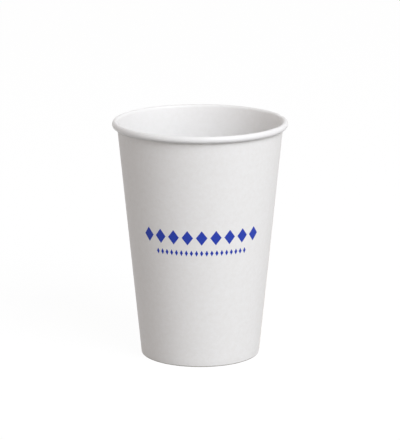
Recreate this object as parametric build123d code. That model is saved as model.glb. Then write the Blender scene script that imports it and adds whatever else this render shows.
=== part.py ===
from build123d import *

import os
from math import atan, ceil, copysign, cos, degrees, radians, sin, tan
from typing import NamedTuple

# Paper cup of coated board: one wrapped side wall with a rolled rim and a folded foot, and one set-in base.
# Millimetres. The origin is the centre of the foot on the surface that the cup stands on, with +Z up.

# Driving dimensions
board = 0.30            # thickness of the coated paperboard
rim_diameter = 70.3     # over the rolled rim
foot_diameter = 47.7    # of the wall's outer face, carried down to the standing surface
cup_height = 95.8

roll_width = 2.13       # rolled rim, from the wall's inner face to its widest point
crown_radius = 0.86     # bends of the roll, on the board's middle line, in the order the edge takes them
flank_radius = 1.75
underside_radius = 1.15
tuck_radius = 0.45
crown_end = -60         # headings at which one bend hands over to the next, the crown's top being at 0
flank_end = -90
underside_end = -180
tuck_end = -226
tuck_length = 0.34      # flat stretch from the last bend to the free edge
facet_turn = 47.9       # most that the board turns at one corner of a bend

lap_width = 5.5         # overlap of the side seam
lap_trim = 0.3          # the outer layer's corner, cut back from the hem's free edge
step_azimuth = 6.1      # degrees from the seam's middle, where the step beside the lap is one board high
ramp_azimuth = 12.5     # degrees from the seam's middle, where the outer layer is back down on the cone
fade_length = 8.0       # stretch below the rim over which the step beside the lap dies out
seam_sector_angle = 32  # of the sector round the seam in which its layers are cut out
seam_azimuth = 10.0     # side seam's place, in degrees from +X towards +Y

hem_length = 5.5        # lower edge folded up inside the skirt of the base
crease_radius = board / 2  # the two bends of the foot, pressed hard, with a flat between them
base_recess = 7.0       # underside of the base above the standing surface
corner_radius = 0.65    # bend from the base's disc to its skirt, on the board's middle line
skirt_clearance = 0.10  # of the skirt's lower edge above the creases

# Slope of the wall, whose middle line runs from the foot to the roll
wall_flare = (rim_diameter - foot_diameter) / 2 - roll_width + board
wall_angle = degrees(atan(wall_flare / (cup_height - board / 2 - crown_radius)))
wall_heading = 90 - wall_angle
up_wall = Vector(sin(radians(wall_angle)), cos(radians(wall_angle)))
out_of_wall = Vector(cos(radians(wall_angle)), -sin(radians(wall_angle)))

# Ends of the straight runs in the section, on the board's middle line: radius and height
wall_start_height = board / 2 + crease_radius * (1 - up_wall.X)
wall_start = Vector(
    foot_diameter / 2 + wall_start_height * up_wall.X / up_wall.Y - board / 2 / up_wall.Y, wall_start_height
)
roll_start_height = cup_height - board / 2 - crown_radius * (1 - up_wall.X)
wall_length = (roll_start_height - wall_start_height) / up_wall.Y
foot_flat = 2 * (board - crease_radius) / up_wall.Y
hem_end = wall_start - Vector(2 * crease_radius * up_wall.Y + foot_flat, -2 * crease_radius * up_wall.X)
hem_start = hem_end + up_wall * hem_length
skirt_start = wall_start - out_of_wall * board + up_wall * skirt_clearance


class Straight(NamedTuple):
    """A flat run of board, seen edge on."""

    length: float


class Bend(NamedTuple):
    """A bend of the board's middle line, positive to the left of its heading."""

    radius: float
    angle: float


def direction(heading):
    """Unit vector at a heading, in degrees from the radial direction."""
    return Vector(cos(radians(heading)), sin(radians(heading)))


def face_points(start, heading, route, offset):
    """One face of the board along its route, at a distance to the right of the middle line, as corner points.

    A bend is drawn in flat facets that touch its curve, so the board keeps its thickness all the way round.
    """
    points = [start + direction(heading - 90) * offset]
    run = 0
    for step in route:
        if isinstance(step, Straight):
            run += step.length
            continue
        corners = ceil(abs(step.angle) / facet_turn)
        turn = step.angle / corners
        half_facet = (step.radius + offset * copysign(1, turn)) * tan(radians(abs(turn) / 2))
        for _ in range(corners):
            run += half_facet
            if run:
                points.append(points[-1] + direction(heading) * run)
            heading += turn
            run = half_facet
    return points + [points[-1] + direction(heading) * run]


def board_section(start, heading, route, left=-board / 2, right=board / 2):
    """Section of the board, radius along X and height along Z, between two offsets from its middle line."""
    left_face = face_points(start, heading, route, left)
    right_face = face_points(start, heading, route, right)
    return Plane.XZ * make_face(Polyline(left_face + right_face[::-1], close=True))


def roll_route():
    """Bends of the rolled rim, from the top of the straight wall to the tucked-in edge."""
    headings = [wall_heading, 0, crown_end, flank_end, underside_end, tuck_end]
    radii = [crown_radius, crown_radius, flank_radius, underside_radius, tuck_radius]
    bends = [Bend(radius, after - before) for radius, before, after in zip(radii, headings, headings[1:])]
    return bends + [Straight(tuck_length)]


def foot_route():
    """The hem from its free edge down, and the creased fold of the foot."""
    creases = [Bend(crease_radius, 90 + wall_angle), Straight(foot_flat), Bend(crease_radius, wall_heading)]
    return [Straight(hem_length)] + creases


def wrapped_wall():
    """The side wall's blank as if it met itself edge to edge: hem, fold, wall and rolled rim."""
    route = foot_route() + [Straight(wall_length)] + roll_route()
    return revolve(board_section(hem_start, wall_heading + 180, route), Axis.Z)


def seam_sector(start, heading, length, left):
    """One thickness of board over a straight run of the blank, through a sector round the seam at +X."""
    section = board_section(start, heading, [Straight(length)], left, left + board)
    return Rot(0, 0, -seam_sector_angle / 2) * revolve(section, Axis.Z, seam_sector_angle)


def lap_layer(start, heading, length):
    """The outer layer of board where the side seam laps over a straight run of the blank."""
    strip = Pos(foot_diameter / 2, 0, 0) * Box(
        foot_diameter, lap_width, cup_height, align=(Align.CENTER, Align.CENTER, Align.MIN)
    )
    return seam_sector(start, heading, length, board / 2) & strip


def wall_point(along, offset, azimuth):
    """A point beside the wall's middle line: how far up the slope, how far out, and its azimuth."""
    place = wall_start + up_wall * along + out_of_wall * offset
    return Vector(place.X, 0, place.Y).rotate(Axis.Z, azimuth)


def plane_through(first, second, third):
    """The plane of three points, facing away from the cup's axis."""
    return Plane(first, x_dir=second - first, z_dir=(second - first).cross(third - first))


def beside_lap(left):
    """The layer whose left face is given, where the outer layer comes down beside the lap onto the cone."""
    descent = plane_through(
        wall_point(0, left, ramp_azimuth),
        wall_point(wall_length, left, ramp_azimuth),
        wall_point(0, left + board, step_azimuth),
    )
    middle = (step_azimuth + ramp_azimuth) / 2
    fade = plane_through(
        wall_point(wall_length, left, middle + 1),
        wall_point(wall_length, left, middle - 1),
        wall_point(wall_length - fade_length, left + board, middle),
    )
    layer = seam_sector(wall_start, wall_heading, wall_length, left)
    for plane in (Plane.XZ.offset(-lap_width / 2), descent, fade):
        layer = split(layer, plane, keep=Keep.BOTTOM)
    return layer


def side_wall():
    """The whole blank, sealed into a cone: the seam's outer layer is added, and the step inside it cut."""
    hem_lap = lap_layer(hem_start - up_wall * lap_trim, wall_heading + 180, hem_length - lap_trim)
    wall_lap = lap_layer(wall_start, wall_heading, wall_length)
    blank = wrapped_wall() + wall_lap + hem_lap + beside_lap(board / 2) - beside_lap(-board / 2)
    return Rot(0, 0, seam_azimuth) * blank


def base():
    """Disc and down-turned skirt of the base, one pressed blank."""
    skirt_rise = base_recess + board / 2 - skirt_start.Y - corner_radius * (1 + up_wall.X)
    skirt_length = skirt_rise / up_wall.Y
    disc_radius = skirt_start.X + skirt_length * up_wall.X - corner_radius * up_wall.Y
    route = [Straight(skirt_length), Bend(corner_radius, 90 + wall_angle), Straight(disc_radius)]
    return revolve(board_section(skirt_start, wall_heading, route), Axis.Z)


os.makedirs("parts", exist_ok=True)
export_step(side_wall(), "parts/side_wall.step")
export_step(base(), "parts/base.step")
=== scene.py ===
import logging
import math
from dataclasses import dataclass, field
from enum import Enum
from typing import Callable

import bpy
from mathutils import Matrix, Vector


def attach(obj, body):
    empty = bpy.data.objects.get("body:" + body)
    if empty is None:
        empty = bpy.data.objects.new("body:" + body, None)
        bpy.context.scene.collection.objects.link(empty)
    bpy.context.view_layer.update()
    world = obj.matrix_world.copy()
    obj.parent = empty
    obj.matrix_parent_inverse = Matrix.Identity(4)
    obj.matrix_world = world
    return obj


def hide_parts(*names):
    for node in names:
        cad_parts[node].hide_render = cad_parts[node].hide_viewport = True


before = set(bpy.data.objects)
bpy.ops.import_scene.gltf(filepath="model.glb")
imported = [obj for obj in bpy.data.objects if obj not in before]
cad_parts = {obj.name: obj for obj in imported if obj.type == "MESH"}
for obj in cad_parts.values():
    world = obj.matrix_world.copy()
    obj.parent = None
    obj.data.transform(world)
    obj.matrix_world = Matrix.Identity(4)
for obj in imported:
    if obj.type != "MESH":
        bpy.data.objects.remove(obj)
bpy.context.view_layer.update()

# Paper cup of coated board. Sizes are in millimetres and angles in degrees, up to where a mesh, a lamp or the
# camera takes them. The cup stands on Z = 0, its axis is Z, its printed front faces -Y, and azimuths run from
# +X towards +Y.

MM = 0.001                # one millimetre, in metres
ON_SEAM = 0.01            # angle from the seam's middle within which a vertex is on it
WELD = 0.0001             # distance within which vertices are merged
SMOOTH_ANGLE = 40.0       # edges that turn by less are shaded smooth
log = logging.getLogger("paper_cup")


def linear(hex_colour: str) -> tuple[float, float, float, float]:
    """Turn an sRGB colour into the linear values that shaders read.

    Args:
        hex_colour: Colour as "#RRGGBB".

    Returns:
        Red, green, blue and an alpha of 1.
    """
    parts = [int(hex_colour[i:i + 2], 16) / 255 for i in (1, 3, 5)]
    return (*(c / 12.92 if c <= 0.04045 else ((c + 0.055) / 1.055) ** 2.4 for c in parts), 1.0)


def add_node(tree: bpy.types.NodeTree, kind: str, settings: dict | None = None,
             **inputs: object) -> bpy.types.Node:
    """Add a node, with its settings, and fill or link its inputs.

    Args:
        tree: Node tree that gets the node.
        kind: Class name of the node.
        settings: Properties of the node.
        **inputs: Values or output sockets by input name, with "_" for a space, or "i0" for a socket's index.

    Returns:
        The new node.
    """
    node = tree.nodes.new(kind)
    for name, value in (settings or {}).items():
        setattr(node, name, value)
    for name, value in inputs.items():
        key = int(name[1:]) if name[0] == "i" and name[1:].isdigit() else name.replace("_", " ")
        socket = node.inputs[key]
        if isinstance(value, bpy.types.NodeSocket):
            tree.links.new(value, socket)
        else:
            socket.default_value = value
    return node


def empty_tree(owner: bpy.types.Material | bpy.types.World) -> bpy.types.NodeTree:
    """Give a material or a world a node tree with nothing in it.

    Args:
        owner: Material or world.

    Returns:
        Its node tree.
    """
    owner.use_nodes = True
    owner.node_tree.nodes.clear()
    return owner.node_tree


def add_object(name: str, data: bpy.types.ID) -> bpy.types.Object:
    """Put a lamp or a camera into the scene.

    Args:
        name: Name of the new object.
        data: Its lamp or camera data.

    Returns:
        The new object.
    """
    obj = bpy.data.objects.new(name, data)
    bpy.context.scene.collection.objects.link(obj)
    return obj


def deselect() -> None:
    """Leave nothing selected and no piece active."""
    for obj in bpy.context.selected_objects:
        obj.select_set(False)
    bpy.context.view_layer.objects.active = None


def select_where(obj: bpy.types.Object, test: Callable[[Vector], bool]) -> None:
    """Select a mesh's vertices by their place, from edit mode.

    Args:
        obj: Mesh object in edit mode.
        test: Says of a place, in millimetres, whether its vertex is selected.
    """
    bpy.ops.mesh.select_all(action="DESELECT")
    bpy.ops.object.mode_set(mode="OBJECT")
    for vertex in obj.data.vertices:
        vertex.select = test(vertex.co / MM)
    bpy.ops.object.mode_set(mode="EDIT")


def azimuth(place: Vector) -> float:
    """Azimuth of a place, from -180 to 180 degrees."""
    return math.degrees(math.atan2(place.y, place.x))


@dataclass(frozen=True)
class Straight:
    """A flat run of board, seen edge on, cut into rows of faces."""

    length: float
    rows: int = 1

    @property
    def chord(self) -> float:
        """Length of one row, from end to end."""
        return self.length / self.rows

    @property
    def turn(self) -> float:
        """Change of heading over one row."""
        return 0.0


@dataclass(frozen=True)
class Bend:
    """A bend of the board's middle line, positive to the left of its heading."""

    radius: float
    angle: float
    rows: int = 1

    @property
    def chord(self) -> float:
        """Length of one row, from end to end."""
        return 2 * self.radius * math.sin(math.radians(abs(self.turn) / 2))

    @property
    def turn(self) -> float:
        """Change of heading over one row."""
        return self.angle / self.rows


def middle_line(start: Vector, heading: float, route: list[Straight | Bend]) -> list[Vector]:
    """Follow the board's middle line in the plane of the cup's section.

    Args:
        start: First point, with the radius in x and the height in z.
        heading: Direction at the start, in degrees from the radial direction.
        route: Runs and bends in the order that the board takes them.

    Returns:
        Points of the line, one at each end of a row.
    """
    points = [start]
    for step in route:
        for _ in range(step.rows):
            way = math.radians(heading + step.turn / 2)
            points.append(points[-1] + Vector((math.cos(way), 0.0, math.sin(way))) * step.chord)
            heading += step.turn
    return points


def draw_line(name: str, points: list[Vector], turned: float) -> bpy.types.Object:
    """Draw an edge chain in the section plane, and leave it selected in edit mode.

    Args:
        name: Name of the new object.
        points: Places in the section plane, in millimetres.
        turned: Azimuth of the plane.

    Returns:
        The object, in edit mode, with its whole chain selected.
    """
    across, along = math.cos(math.radians(turned)), math.sin(math.radians(turned))
    places = [Vector((p.x * across, p.x * along, p.z)) * MM for p in points]
    deselect()
    bpy.ops.mesh.primitive_plane_add(size=MM, location=places[0])
    line = bpy.context.active_object
    line.name = line.data.name = name
    bpy.ops.object.transform_apply(location=True, rotation=True, scale=True)
    bpy.ops.object.mode_set(mode="EDIT")
    bpy.ops.mesh.select_mode(type="VERT")
    bpy.ops.mesh.select_all(action="SELECT")
    bpy.ops.mesh.merge(type="CENTER")
    for before, after in zip(places, places[1:]):
        bpy.ops.mesh.extrude_region_move(TRANSFORM_OT_translate={"value": after - before})
    bpy.ops.mesh.select_all(action="SELECT")
    return line


def spin_round(steps: int, angle: float) -> None:
    """Spin the selected edges about the cup's axis, anticlockwise seen from above for a positive angle."""
    bpy.ops.mesh.spin(steps=steps, angle=math.radians(angle), center=(0, 0, 0), axis=(0, 0, -1))


@dataclass(frozen=True)
class Board:
    """Solid bleached cup board, calendered and uncoated on the printed side.

    Short bleached wood fibres pressed flat: it reads as a matt, faintly warm white, with clouds where the
    sheet is denser and a fine tooth.
    """

    name: str = "bleached_board"
    colour: str = "#EFEEEC"
    cloud_colour: str = "#EAE8E5"
    cloud_size: float = 1.8      # formation of the sheet
    cloud_detail: float = 4.0
    cloud_roughness: float = 0.75
    cloud_range: tuple[float, float] = (0.3, 0.7)  # of the noise, spread over both colours
    tooth_size: float = 0.45     # real fibres are about 0.03 mm wide; drawn coarse enough to show
    tooth_depth: float = 0.012
    tooth_detail: float = 3.0
    tooth_roughness: float = 0.65
    roughness: float = 0.62
    index: float = 1.47          # of cellulose

    def make(self) -> bpy.types.Material:
        """Build the material.

        Returns:
            The new material.
        """
        material = bpy.data.materials.new(self.name)
        material.use_nodes = True
        tree = material.node_tree
        shader = tree.nodes["Principled BSDF"]
        place = add_node(tree, "ShaderNodeTexCoord").outputs["Object"]
        clouds = add_node(tree, "ShaderNodeTexNoise", Vector=place, Scale=1 / (self.cloud_size * MM),
                          Detail=self.cloud_detail, Roughness=self.cloud_roughness)
        spread = add_node(tree, "ShaderNodeMapRange", Value=clouds.outputs["Fac"],
                          From_Min=self.cloud_range[0], From_Max=self.cloud_range[1])
        tint = add_node(tree, "ShaderNodeMix", {"data_type": "RGBA"}, i0=spread.outputs["Result"],
                        i6=linear(self.cloud_colour), i7=linear(self.colour))
        tooth = add_node(tree, "ShaderNodeTexNoise", Vector=place, Scale=1 / (self.tooth_size * MM),
                         Detail=self.tooth_detail, Roughness=self.tooth_roughness)
        bump = add_node(tree, "ShaderNodeBump", Height=tooth.outputs["Fac"], Distance=self.tooth_depth * MM)
        tree.links.new(tint.outputs[2], shader.inputs["Base Color"])
        tree.links.new(bump.outputs["Normal"], shader.inputs["Normal"])
        shader.inputs["Roughness"].default_value = self.roughness
        shader.inputs["IOR"].default_value = self.index
        return material


@dataclass(frozen=True)
class CoatedBoard(Board):
    """The same board with its extruded polyethylene film, on the side that holds the drink.

    A film 0.015 mm thick, chilled on a matt roll: it reads as a soft satin over the board's white.
    """

    name: str = "film_coated_board"
    colour: str = "#ECEBEA"
    cloud_colour: str = "#E8E7E5"
    tooth_size: float = 0.9
    tooth_depth: float = 0.010
    roughness: float = 0.38


@dataclass(frozen=True)
class CutBoard(Board):
    """The die-cut edge of the board.

    The fibres show end on there, so it reads a little darker and rougher than the faces.
    """

    name: str = "cut_board_edge"
    colour: str = "#E9E5DC"
    cloud_colour: str = "#DCD6CA"
    cloud_size: float = 0.5
    tooth_size: float = 0.15
    roughness: float = 0.8


@dataclass(frozen=True)
class KnurledBoard(Board):
    """The board of the hem, where a toothed roller has pressed it against the skirt of the base.

    The roller leaves a row of upright ribs, which catch the light as a fine regular shading.
    """

    name: str = "knurled_board"
    rib_count: int = 96
    rib_depth: float = 0.08

    def make(self) -> bpy.types.Material:
        """Build the material, with the ribs under the board's own tooth.

        Returns:
            The new material.
        """
        material = super().make()
        tree = material.node_tree
        place = add_node(tree, "ShaderNodeTexCoord").outputs["Object"]
        axes = add_node(tree, "ShaderNodeSeparateXYZ", Vector=place).outputs
        turn = add_node(tree, "ShaderNodeMath", {"operation": "ARCTAN2"}, i0=axes["Y"], i1=axes["X"])
        phase = add_node(tree, "ShaderNodeMath", {"operation": "MULTIPLY"}, i0=turn.outputs[0],
                         i1=float(self.rib_count))
        wave = add_node(tree, "ShaderNodeMath", {"operation": "SINE"}, i0=phase.outputs[0])
        tooth = tree.nodes["Bump"]
        ribs = add_node(tree, "ShaderNodeBump", Height=wave.outputs[0], Distance=self.rib_depth * MM)
        tree.links.new(ribs.outputs["Normal"], tooth.inputs["Normal"])
        return material


@dataclass(frozen=True)
class FoldBoardPaintedShade(Board):
    """The board at the fold of the foot, coloured a darker grey that is painted shade.

    The grey stands for the contact shadow under the foot's lower edge, so that the fold reads as a fine grey
    line round the foot.
    """

    name: str = "fold_board_painted_shade"
    colour: str = "#ACA79F"
    cloud_colour: str = "#A09B92"
    cloud_size: float = 0.6


@dataclass(frozen=True)
class Ink(Board):
    """Water-based flexographic ink on the bare board.

    A thin film that sinks into the fibres: a flat, saturated blue with the board's own matt tooth.
    """

    name: str = "flexographic_ink"
    colour: str = "#1231A4"
    cloud_colour: str = "#1D3CAA"
    cloud_size: float = 0.8
    roughness: float = 0.6


class Side(Enum):
    """Faces of the blank, in the order of a sheet's materials."""

    PRINTED = 0
    COATED = 1
    CUT = 2
    HEM = 3
    FOLD = 4


class Layer(Enum):
    """Layers of the lap, by the side of the seam's middle on which each one ends."""

    INSIDE = 1
    OUTSIDE = -1


@dataclass(frozen=True)
class Curl:
    """One bend of the rolled rim. Headings are from the radial direction, so that of the crown's top is 0."""

    radius: float
    end: float       # heading at which the next bend takes over
    rows: int


@dataclass
class Wall:
    """The side wall: one fan-shaped blank, wrapped and lapped, with a rolled rim and a hem folded in."""

    board: float = 0.30
    rim_diameter: float = 70.3
    foot_diameter: float = 47.7
    height: float = 95.8
    roll_width: float = 2.13     # from the wall's inner face to the roll's widest point
    crown: Curl = Curl(radius=0.86, end=-60.0, rows=18)  # first bend of the roll, then the others in order
    flank: Curl = Curl(radius=1.75, end=-90.0, rows=5)
    underside: Curl = Curl(radius=1.15, end=-180.0, rows=12)
    tuck: Curl = Curl(radius=0.45, end=-290.0, rows=10)
    crease_radius: float = 0.29  # of the two bends of the foot
    hem_length: float = 5.5
    hem_depth: float = 0.7       # inside the printed face, past which the uncoated face is the hem's
    seam_azimuth: float = 10.0
    lap_width: float = 5.5
    lap_allowance: float = 0.5   # azimuth by which each layer is drawn past the lap, before it is trimmed
    ramp_azimuth: float = 13.5   # from the seam's middle, where the outer layer leaves the cone
    hem_rows: int = 6
    crease_rows: int = 6
    wall_rows: int = 32
    columns: int = 240
    ramp_columns: int = 10
    lap_columns: int = 6
    flare: float = field(init=False)   # of the wall from the axis
    up: Vector = field(init=False)     # along the wall, in the section plane
    out: Vector = field(init=False)    # square to the wall, in the section plane
    start: Vector = field(init=False)  # of the wall's middle line, above the fold

    def __post_init__(self) -> None:
        """Work out the slope of the wall and where its middle line starts."""
        run = (self.rim_diameter - self.foot_diameter) / 2 - self.roll_width + self.board
        self.flare = math.degrees(math.atan(run / (self.height - self.board / 2 - self.crown.radius)))
        tilt = math.radians(self.flare)
        self.up = Vector((math.sin(tilt), 0, math.cos(tilt)))
        self.out = Vector((math.cos(tilt), 0, -math.sin(tilt)))
        low = self.board / 2 + self.crease_radius * (1 - self.up.x)
        self.start = Vector((self.foot_diameter / 2 + (low * self.up.x - self.board / 2) / self.up.z, 0, low))

    def radius(self, height: float) -> float:
        """Radius of the wall's printed face at a height."""
        return self.foot_diameter / 2 + height * self.up.x / self.up.z

    def side_at(self, place: Vector) -> Side:
        """Tell which finish the uncoated face has at a place.

        Args:
            place: Place on that face, in millimetres.

        Returns:
            The fold, the hem or the printed side.
        """
        # Faces on the fold take the fold's darker grey, which is painted shade: the contact shadow under the
        # foot's lower edge.
        if place.z < self.crease_radius + self.board / 2:
            return Side.FOLD
        depth = self.radius(place.z) - math.hypot(place.x, place.y)
        return Side.HEM if depth > self.hem_depth else Side.PRINTED

    def line(self) -> list[Vector]:
        """Lay out the blank's middle line, from the hem's free edge to the edge tucked in the roll.

        Returns:
            Points in the section plane, in millimetres.
        """
        heading = 90 - self.flare
        top = self.height - self.board / 2 - self.crown.radius * (1 - self.up.x)
        flat = 2 * (self.board - self.crease_radius) / self.up.z
        hem_foot = self.start - self.out * 2 * self.crease_radius - Vector((flat, 0, 0))
        route = [
            Straight(self.hem_length, self.hem_rows),
            Bend(self.crease_radius, 90 + self.flare, self.crease_rows),
            Straight(flat),
            Bend(self.crease_radius, heading, self.crease_rows),
            Straight((top - self.start.z) / self.up.z, self.wall_rows),
        ]
        reached = heading
        for curl in (self.crown, self.flank, self.underside, self.tuck):
            route.append(Bend(curl.radius, curl.end - reached, curl.rows))
            reached = curl.end
        return middle_line(hem_foot + self.up * self.hem_length, heading + 180, route)

    def trim(self, layer: Layer) -> None:
        """Cut the visible part of the blank along one edge of the lap, and keep the blank's side of it.

        Args:
            layer: Layer that ends at that edge.
        """
        turn = math.radians(self.seam_azimuth)
        across = Vector((-math.sin(turn), math.cos(turn), 0))
        bpy.ops.mesh.select_all(action="SELECT")
        bpy.ops.mesh.bisect(plane_co=across * layer.value * self.lap_width / 2 * MM, plane_no=across,
                            clear_outer=layer is Layer.INSIDE, clear_inner=layer is Layer.OUTSIDE)

    def ramp_step(self, column: int) -> float:
        """How far the outer layer moves out over one column of its ramp, easing in and out."""
        before, after = (c / self.ramp_columns for c in (column, column + 1))
        return self.board * (after ** 2 * (3 - 2 * after) - before ** 2 * (3 - 2 * before))

    def build(self) -> bpy.types.Object:
        """Wrap the blank: from the seam's middle once round, out over the ramp, and on over the lap.

        Returns:
            The wall's mesh object.
        """
        half_lap = math.degrees(math.asin(self.lap_width / self.foot_diameter)) + self.lap_allowance
        wall = draw_line("cup_wall", self.line(), self.seam_azimuth + half_lap)
        spin_round(self.lap_columns, -half_lap)
        self.trim(Layer.INSIDE)
        select_where(wall, lambda p: abs(azimuth(p) - self.seam_azimuth) < ON_SEAM)
        spin_round(self.columns, self.ramp_azimuth - 360.0)
        for column in range(self.ramp_columns):
            spin_round(1, (half_lap - self.ramp_azimuth) / self.ramp_columns)
            bpy.ops.transform.shrink_fatten(value=self.ramp_step(column) * MM)
        spin_round(self.lap_columns, -half_lap)

        # Only the outer layer past the seam's middle is trimmed, so all the rest is hidden meanwhile.
        bpy.ops.mesh.hide(unselected=True)
        spin_round(self.lap_columns, -half_lap)
        self.trim(Layer.OUTSIDE)
        bpy.ops.mesh.reveal()

        # The outer layer's fold would reach below the floor, so it is pressed level with the rest.
        select_where(wall, lambda p: p.z < self.board / 2)
        bpy.ops.transform.resize(value=(1, 1, 0), center_override=(0, 0, self.board / 2 * MM))
        bpy.ops.mesh.select_all(action="SELECT")
        bpy.ops.object.mode_set(mode="OBJECT")
        return wall


@dataclass
class Base:
    """The base: a pressed disc of the same board, with its edge turned down as a skirt."""

    wall: Wall
    recess: float = 7.0
    corner_radius: float = 0.65
    skirt_clearance: float = 0.10
    press_ring: float = 19.5     # radius of the faint ring that the forming tool leaves
    press_edge: float = 0.6      # from the ring out to where the disc starts to dip
    press_depth: float = 0.12
    press_profile: tuple[tuple[float, float], ...] = (  # way out from the ring, and share of the depth
        (0.3, 0.5), (0.0, 1.0), (-0.3, 0.9), (-0.9, 0.5), (-2.0, 0.2), (-4.0, 0.05))
    flat_radii: tuple[float, ...] = (12.0, 8.0, 4.0, 0.0)  # rows of the flat disc, inwards from the dip
    skirt_rows: int = 6
    corner_rows: int = 8
    edge_rows: int = 3
    columns: int = 180

    def build(self) -> bpy.types.Object:
        """Spin the disc and its skirt.

        Returns:
            The base's mesh object.
        """
        up, board = self.wall.up, self.wall.board
        start = self.wall.start - self.wall.out * board + up * self.skirt_clearance
        skirt = (self.recess + board / 2 - start.z - self.corner_radius * (1 + up.x)) / up.z
        disc = start.x + skirt * up.x - self.corner_radius * up.z
        line = middle_line(start, 90 - self.wall.flare, [
            Straight(skirt, self.skirt_rows),
            Bend(self.corner_radius, 90 + self.wall.flare, self.corner_rows),
            Straight(disc - self.press_ring - self.press_edge, self.edge_rows),
        ])
        level = line[-1].z
        line += [Vector((self.press_ring + way, 0, level - self.press_depth * share))
                 for way, share in self.press_profile]
        line += [Vector((radius, 0, level)) for radius in self.flat_radii]
        base = draw_line("cup_base", line, 0.0)
        spin_round(self.columns, 360.0)
        bpy.ops.mesh.select_all(action="SELECT")
        bpy.ops.mesh.remove_doubles(threshold=WELD * MM)
        bpy.ops.object.mode_set(mode="OBJECT")
        return base


@dataclass(frozen=True)
class Row:
    """A row of equal lozenges round the front of the wall."""

    width: float
    height: float
    level: float     # height of its middle above the floor
    span: float      # length round the wall
    count: int


@dataclass
class Print:
    """The printed marks: a row of large lozenges over a row of small ones, on the front of the wall."""

    wall: Wall
    rows: tuple[Row, ...] = (
        Row(width=4.6, height=6.0, level=54.2, span=50.0, count=9),
        Row(width=1.3, height=2.5, level=47.9, span=37.6, count=19),
    )
    azimuth: float = 1.2         # of the middle of the rows, from the front
    ink_proud: float = 0.02      # of the board, only enough to show
    cuts: int = 7                # across a lozenge, so that it bends round the wall

    def lozenge(self, row: Row) -> bpy.types.Object:
        """Lay one lozenge of ink before the wall, at the middle of its row.

        Args:
            row: Row that it is made for.

        Returns:
            The lozenge, not yet pressed on.
        """
        deselect()
        bpy.ops.mesh.primitive_circle_add(vertices=4, radius=MM / 2, fill_type="NGON")
        lozenge = bpy.context.active_object
        bpy.ops.object.mode_set(mode="EDIT")
        bpy.ops.transform.resize(value=(row.width, row.height, 1.0))
        bpy.ops.mesh.subdivide(number_cuts=self.cuts)
        bpy.ops.object.mode_set(mode="OBJECT")
        lozenge.rotation_euler.x = math.radians(90 + self.wall.flare)
        lozenge.location = Vector((0, -self.wall.radius(row.level) - self.wall.board, row.level)) * MM
        bpy.ops.object.transform_apply(location=True, rotation=True, scale=True)
        return lozenge

    def set_out(self, row: Row) -> list[bpy.types.Object]:
        """Set out one row, each lozenge a copy of the first.

        Args:
            row: Row to set out.

        Returns:
            Its lozenges, not yet pressed on.
        """
        pitch = math.degrees((row.span - row.width) / (row.count - 1) / self.wall.radius(row.level))
        marks = [self.lozenge(row)]
        marks[0].rotation_euler.z = math.radians(self.azimuth + pitch * (1 - row.count) / 2)
        for _ in range(row.count - 1):
            bpy.ops.object.duplicate()
            marks.append(bpy.context.active_object)
            marks[-1].rotation_euler.z += math.radians(pitch)
        return marks

    def build(self, wall: bpy.types.Object) -> bpy.types.Object:
        """Print all the rows on the wall.

        Args:
            wall: Finished mesh of the wall.

        Returns:
            All the marks, as one piece.
        """
        marks = [mark for row in self.rows for mark in self.set_out(row)]
        deselect()
        for mark in marks:
            mark.select_set(True)
        bpy.context.view_layer.objects.active = marks[0]
        bpy.ops.object.transform_apply(location=True, rotation=True, scale=True)
        bpy.ops.object.join()
        ink = marks[0]
        ink.name = ink.data.name = "printed_marks"
        press = ink.modifiers.new("press", "SHRINKWRAP")
        press.target = wall
        press.wrap_method = "NEAREST_SURFACEPOINT"
        press.wrap_mode = "ABOVE_SURFACE"
        press.offset = self.ink_proud * MM
        bpy.ops.object.modifier_apply(modifier=press.name)
        return ink


@dataclass(frozen=True)
class Lamp:
    """A soft round studio lamp, aimed at the middle of the cup."""

    name: str
    place: tuple[float, float, float]
    size: float
    watts: float
    tint: str
    aim_height: float = 50.0

    def hang(self) -> None:
        """Add the lamp to the scene."""
        light = bpy.data.lights.new(self.name, "AREA")
        light.shape = "DISK"
        light.size = self.size * MM
        light.energy = self.watts
        light.color = linear(self.tint)[:3]
        lamp = add_object(self.name, light)
        place = Vector(self.place)
        lamp.location = place * MM
        lamp.rotation_euler = (place - Vector((0, 0, self.aim_height))).to_track_quat("Z", "Y").to_euler()


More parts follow.
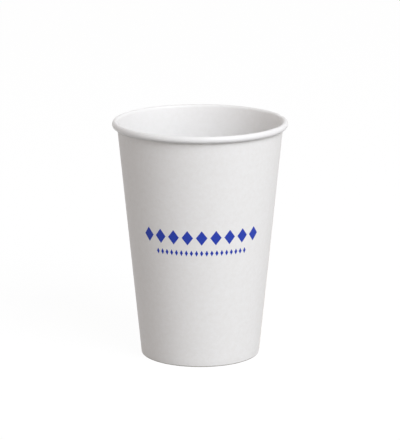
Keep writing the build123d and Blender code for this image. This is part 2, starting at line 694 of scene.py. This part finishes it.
@dataclass
class Studio:
    """The floor, the white beyond it, the lamp and the camera."""

    distance: float = 1015.0     # of the camera, from the point on the axis that it looks at
    aim_height: float = 47.9
    elevation: float = 13.7
    lens: float = 205.6
    sensor_width: float = 36.0
    shift: tuple[float, float] = (-0.0003, 0.0375)
    floor_size: float = 12000.0
    floor_grey: str = "#909090"
    shadow_share: float = 0.25   # of the floor's own matt shading in the white that the camera sees
    shadow_white: float = 1.26   # of the rest of it, so that the floor away from the shadow is plain white
    daylight: float = 1.00       # at the horizon, dimming upwards
    zenith_light: float = 0.28
    daylight_tint: str = "#FFF9F7"
    key: Lamp = Lamp("key", place=(996.0, -1275.0, 1226.0), size=1300.0, watts=31.3, tint="#F4F9FF")

    def white_for_camera(self, tree: bpy.types.NodeTree) -> bpy.types.NodeSocket:
        """Mark the rays that see the white background: straight, mirrored or through glass.

        Args:
            tree: Node tree of the world or of the floor.

        Returns:
            A socket that is 1 on those rays and 0 on all others.
        """
        rays = add_node(tree, "ShaderNodeLightPath").outputs
        seen = add_node(tree, "ShaderNodeMath", {"operation": "ADD"}, i0=rays["Is Camera Ray"],
                        i1=rays["Is Glossy Ray"])
        return add_node(tree, "ShaderNodeMath", {"operation": "ADD", "use_clamp": True}, i0=seen.outputs[0],
                        i1=rays["Is Transmission Ray"]).outputs[0]

    def lay_floor(self) -> None:
        """Lay the floor: matt grey for the light that it returns, and nearly plain white to the camera."""
        deselect()
        bpy.ops.mesh.primitive_plane_add(size=self.floor_size * MM, location=(0, 0, 0))
        floor = bpy.context.active_object
        floor.name = "floor"
        material = bpy.data.materials.new("floor_paper")
        tree = empty_tree(material)
        matt = add_node(tree, "ShaderNodeBsdfDiffuse", Color=linear(self.floor_grey))
        white = add_node(tree, "ShaderNodeEmission", Strength=self.shadow_white)
        share = add_node(tree, "ShaderNodeMath", {"operation": "MULTIPLY"}, i0=self.white_for_camera(tree),
                         i1=1.0 - self.shadow_share)
        mixed = add_node(tree, "ShaderNodeMixShader", i0=share.outputs[0], i1=matt.outputs[0],
                         i2=white.outputs[0])
        add_node(tree, "ShaderNodeOutputMaterial", Surface=mixed.outputs[0])
        floor.data.materials.append(material)

    def light_room(self) -> None:
        """Fill the room with daylight, dimmer from above, that is plain white to the camera."""
        world = bpy.data.worlds.new("room")
        bpy.context.scene.world = world
        tree = empty_tree(world)
        way = add_node(tree, "ShaderNodeTexCoord").outputs["Generated"]
        rise = add_node(tree, "ShaderNodeSeparateXYZ", Vector=way).outputs["Z"]
        light = add_node(tree, "ShaderNodeMapRange", Value=rise, To_Min=self.daylight,
                         To_Max=self.zenith_light)
        dim = add_node(tree, "ShaderNodeBackground", Color=linear(self.daylight_tint),
                       Strength=light.outputs["Result"])
        bright = add_node(tree, "ShaderNodeBackground", Color=(1, 1, 1, 1), Strength=1.0)
        mixed = add_node(tree, "ShaderNodeMixShader", i0=self.white_for_camera(tree), i1=dim.outputs[0],
                         i2=bright.outputs[0])
        add_node(tree, "ShaderNodeOutputWorld", Surface=mixed.outputs[0])

    def set_camera(self) -> None:
        """Set the camera before the printed front, looking down at the middle of the cup."""
        lens = bpy.data.cameras.new("camera")
        lens.lens = self.lens
        lens.sensor_width = self.sensor_width
        lens.shift_x, lens.shift_y = self.shift
        camera = add_object("camera", lens)
        tilt = math.radians(self.elevation)
        camera.location = Vector((0, -self.distance * math.cos(tilt),
                                  self.aim_height + self.distance * math.sin(tilt))) * MM
        camera.rotation_euler = (math.radians(90 - self.elevation), 0, 0)
        bpy.context.scene.camera = camera
        bpy.context.scene.view_settings.view_transform = "Standard"

    def build(self) -> None:
        """Lay the floor, light the room, hang the lamp and set up the camera."""
        self.lay_floor()
        self.light_room()
        self.key.hang()
        self.set_camera()


@dataclass
class Cup:
    """The whole cup: wall, base and print, dressed and set on the solid model's nodes."""

    wall: Wall = field(default_factory=Wall)

    def finish_board(self, piece: bpy.types.Object,
                     side_at: Callable[[Vector], Side] = lambda place: Side.PRINTED) -> None:
        """Give a sheet its thickness and its finishes.

        Args:
            piece: Sheet, drawn on the board's middle line.
            side_at: Says of a place on the uncoated face, in millimetres, which finish it has.
        """
        for finish in (Board(), CoatedBoard(), CutBoard(), KnurledBoard(), FoldBoardPaintedShade()):
            material = bpy.data.materials.get(finish.name) or finish.make()
            piece.data.materials.append(material)
        sheet = piece.modifiers.new("board", "SOLIDIFY")
        sheet.thickness = self.wall.board * MM
        sheet.offset = 0.0
        sheet.use_even_offset = True
        sheet.material_offset = Side.COATED.value
        sheet.material_offset_rim = Side.CUT.value
        bpy.ops.object.modifier_apply(modifier=sheet.name)
        for face in piece.data.polygons:
            if face.material_index == Side.PRINTED.value:
                face.material_index = side_at(face.center / MM).value

    def settle(self, piece: bpy.types.Object, node: str | None, slot: str) -> None:
        """Shade a finished piece, set it in the frame and report it.

        Args:
            piece: Finished piece, selected and active.
            node: Solid node that it stands for, if any.
            slot: Name of the record's material slot for the piece, only written to the log.
        """
        bpy.ops.object.shade_smooth_by_angle(angle=math.radians(SMOOTH_ANGLE))
        if node:
            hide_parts(node)
        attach(piece, "root")
        log.info("%s: %d faces, finish %s", piece.name, len(piece.data.polygons), slot)

    def build(self) -> None:
        """Build and dress each piece, and set it in the frame."""
        wall = self.wall.build()
        self.finish_board(wall, self.wall.side_at)
        self.settle(wall, "side_wall", "side_wall_board")

        base = Base(self.wall).build()
        self.finish_board(base)
        self.settle(base, "base", "base_board")

        ink = Print(self.wall).build(wall)
        ink.data.materials.append(Ink().make())
        self.settle(ink, None, "print_ink")


def main() -> None:
    """Build the studio and the cup."""
    Studio().build()
    Cup().build()


if __name__ == "__main__":
    logging.basicConfig(level=logging.INFO, format="%(name)s: %(message)s")
    main()
